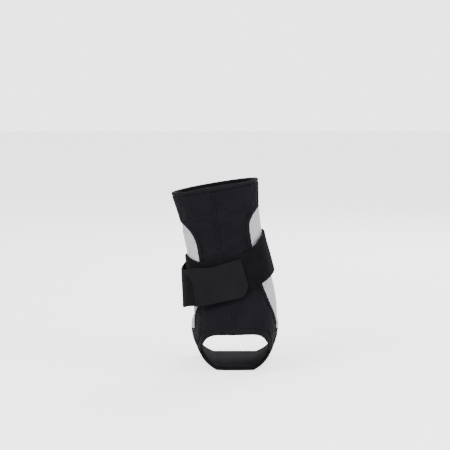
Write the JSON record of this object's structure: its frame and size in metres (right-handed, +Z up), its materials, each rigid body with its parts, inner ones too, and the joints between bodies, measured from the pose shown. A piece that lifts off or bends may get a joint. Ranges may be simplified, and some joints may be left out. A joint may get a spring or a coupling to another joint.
{
  "type": "ankle foot orthosis",
  "caption": "Soft ankle support sleeve of black fabric and grey mesh with an open heel, an open forefoot and a wrap-round strap closed by a pull tab.",
  "frame": {"origin": "on the flat underside of the sole panel, below the middle of the ankle", "axes": "+Z up the leg, +Y towards the toes, +X towards the side the pull tab's end points to; the leg part leans to -X as it was worn"},
  "size_m": [0.1045, 0.1521, 0.1833],
  "materials": {
    "panel": "smooth black knit face on foam",
    "mesh": "silver-grey spacer mesh",
    "binding": "black stretch binding",
    "seam": "black flat seam",
    "strap": "black loop pile",
    "tab": "smooth black tab",
    "hook": "black hook tape"
  },
  "bodies": {
    "sleeve": {"rear_panel": "panel", "sole_panel": "panel", "instep_panel": "panel", "mesh_left": "mesh", "mesh_right": "mesh", "top_binding": "binding", "heel_binding": "binding", "forefoot_binding": "binding", "back_seam": "seam", "side_seam_left": "seam", "side_seam_right": "seam", "rear_seam_left": "seam", "rear_seam_right": "seam", "front_seam_left": "seam", "front_seam_right": "seam", "heel_seam_left": "seam", "heel_seam_right": "seam", "strap_wrap": "strap", "anchor_seam": "seam"},
    "strap_part": {"strap_side": "strap", "tab_sewn": "tab", "tab_seam": "seam"},
    "tab_part": {"tab_mid": "tab", "hook_mid": "hook"},
    "tip_part": {"tab_tip": "tab", "hook_tip": "hook"}
  },
  "joints": [
    {"name": "strap_fold", "type": "hinge", "parent": "sleeve", "child": "strap_part", "pos_m": [-0.04067, 0.03358, 0.08786], "axis": [0.1138, 0.3092, -0.9442], "range_deg": [0, 95]},
    {"name": "tab_fold", "type": "hinge", "parent": "strap_part", "child": "tab_part", "pos_m": [-0.02543, -0.04806, 0.08472], "axis": [0.1537, -0.1727, -0.9729], "range_deg": [0, 110]},
    {"name": "tip_fold", "type": "hinge", "parent": "tab_part", "child": "tip_part", "pos_m": [-0.00682, -0.05089, 0.08955], "axis": [0.1758, -0.1666, -0.9702], "range_deg": [0, 70]}
  ]
}
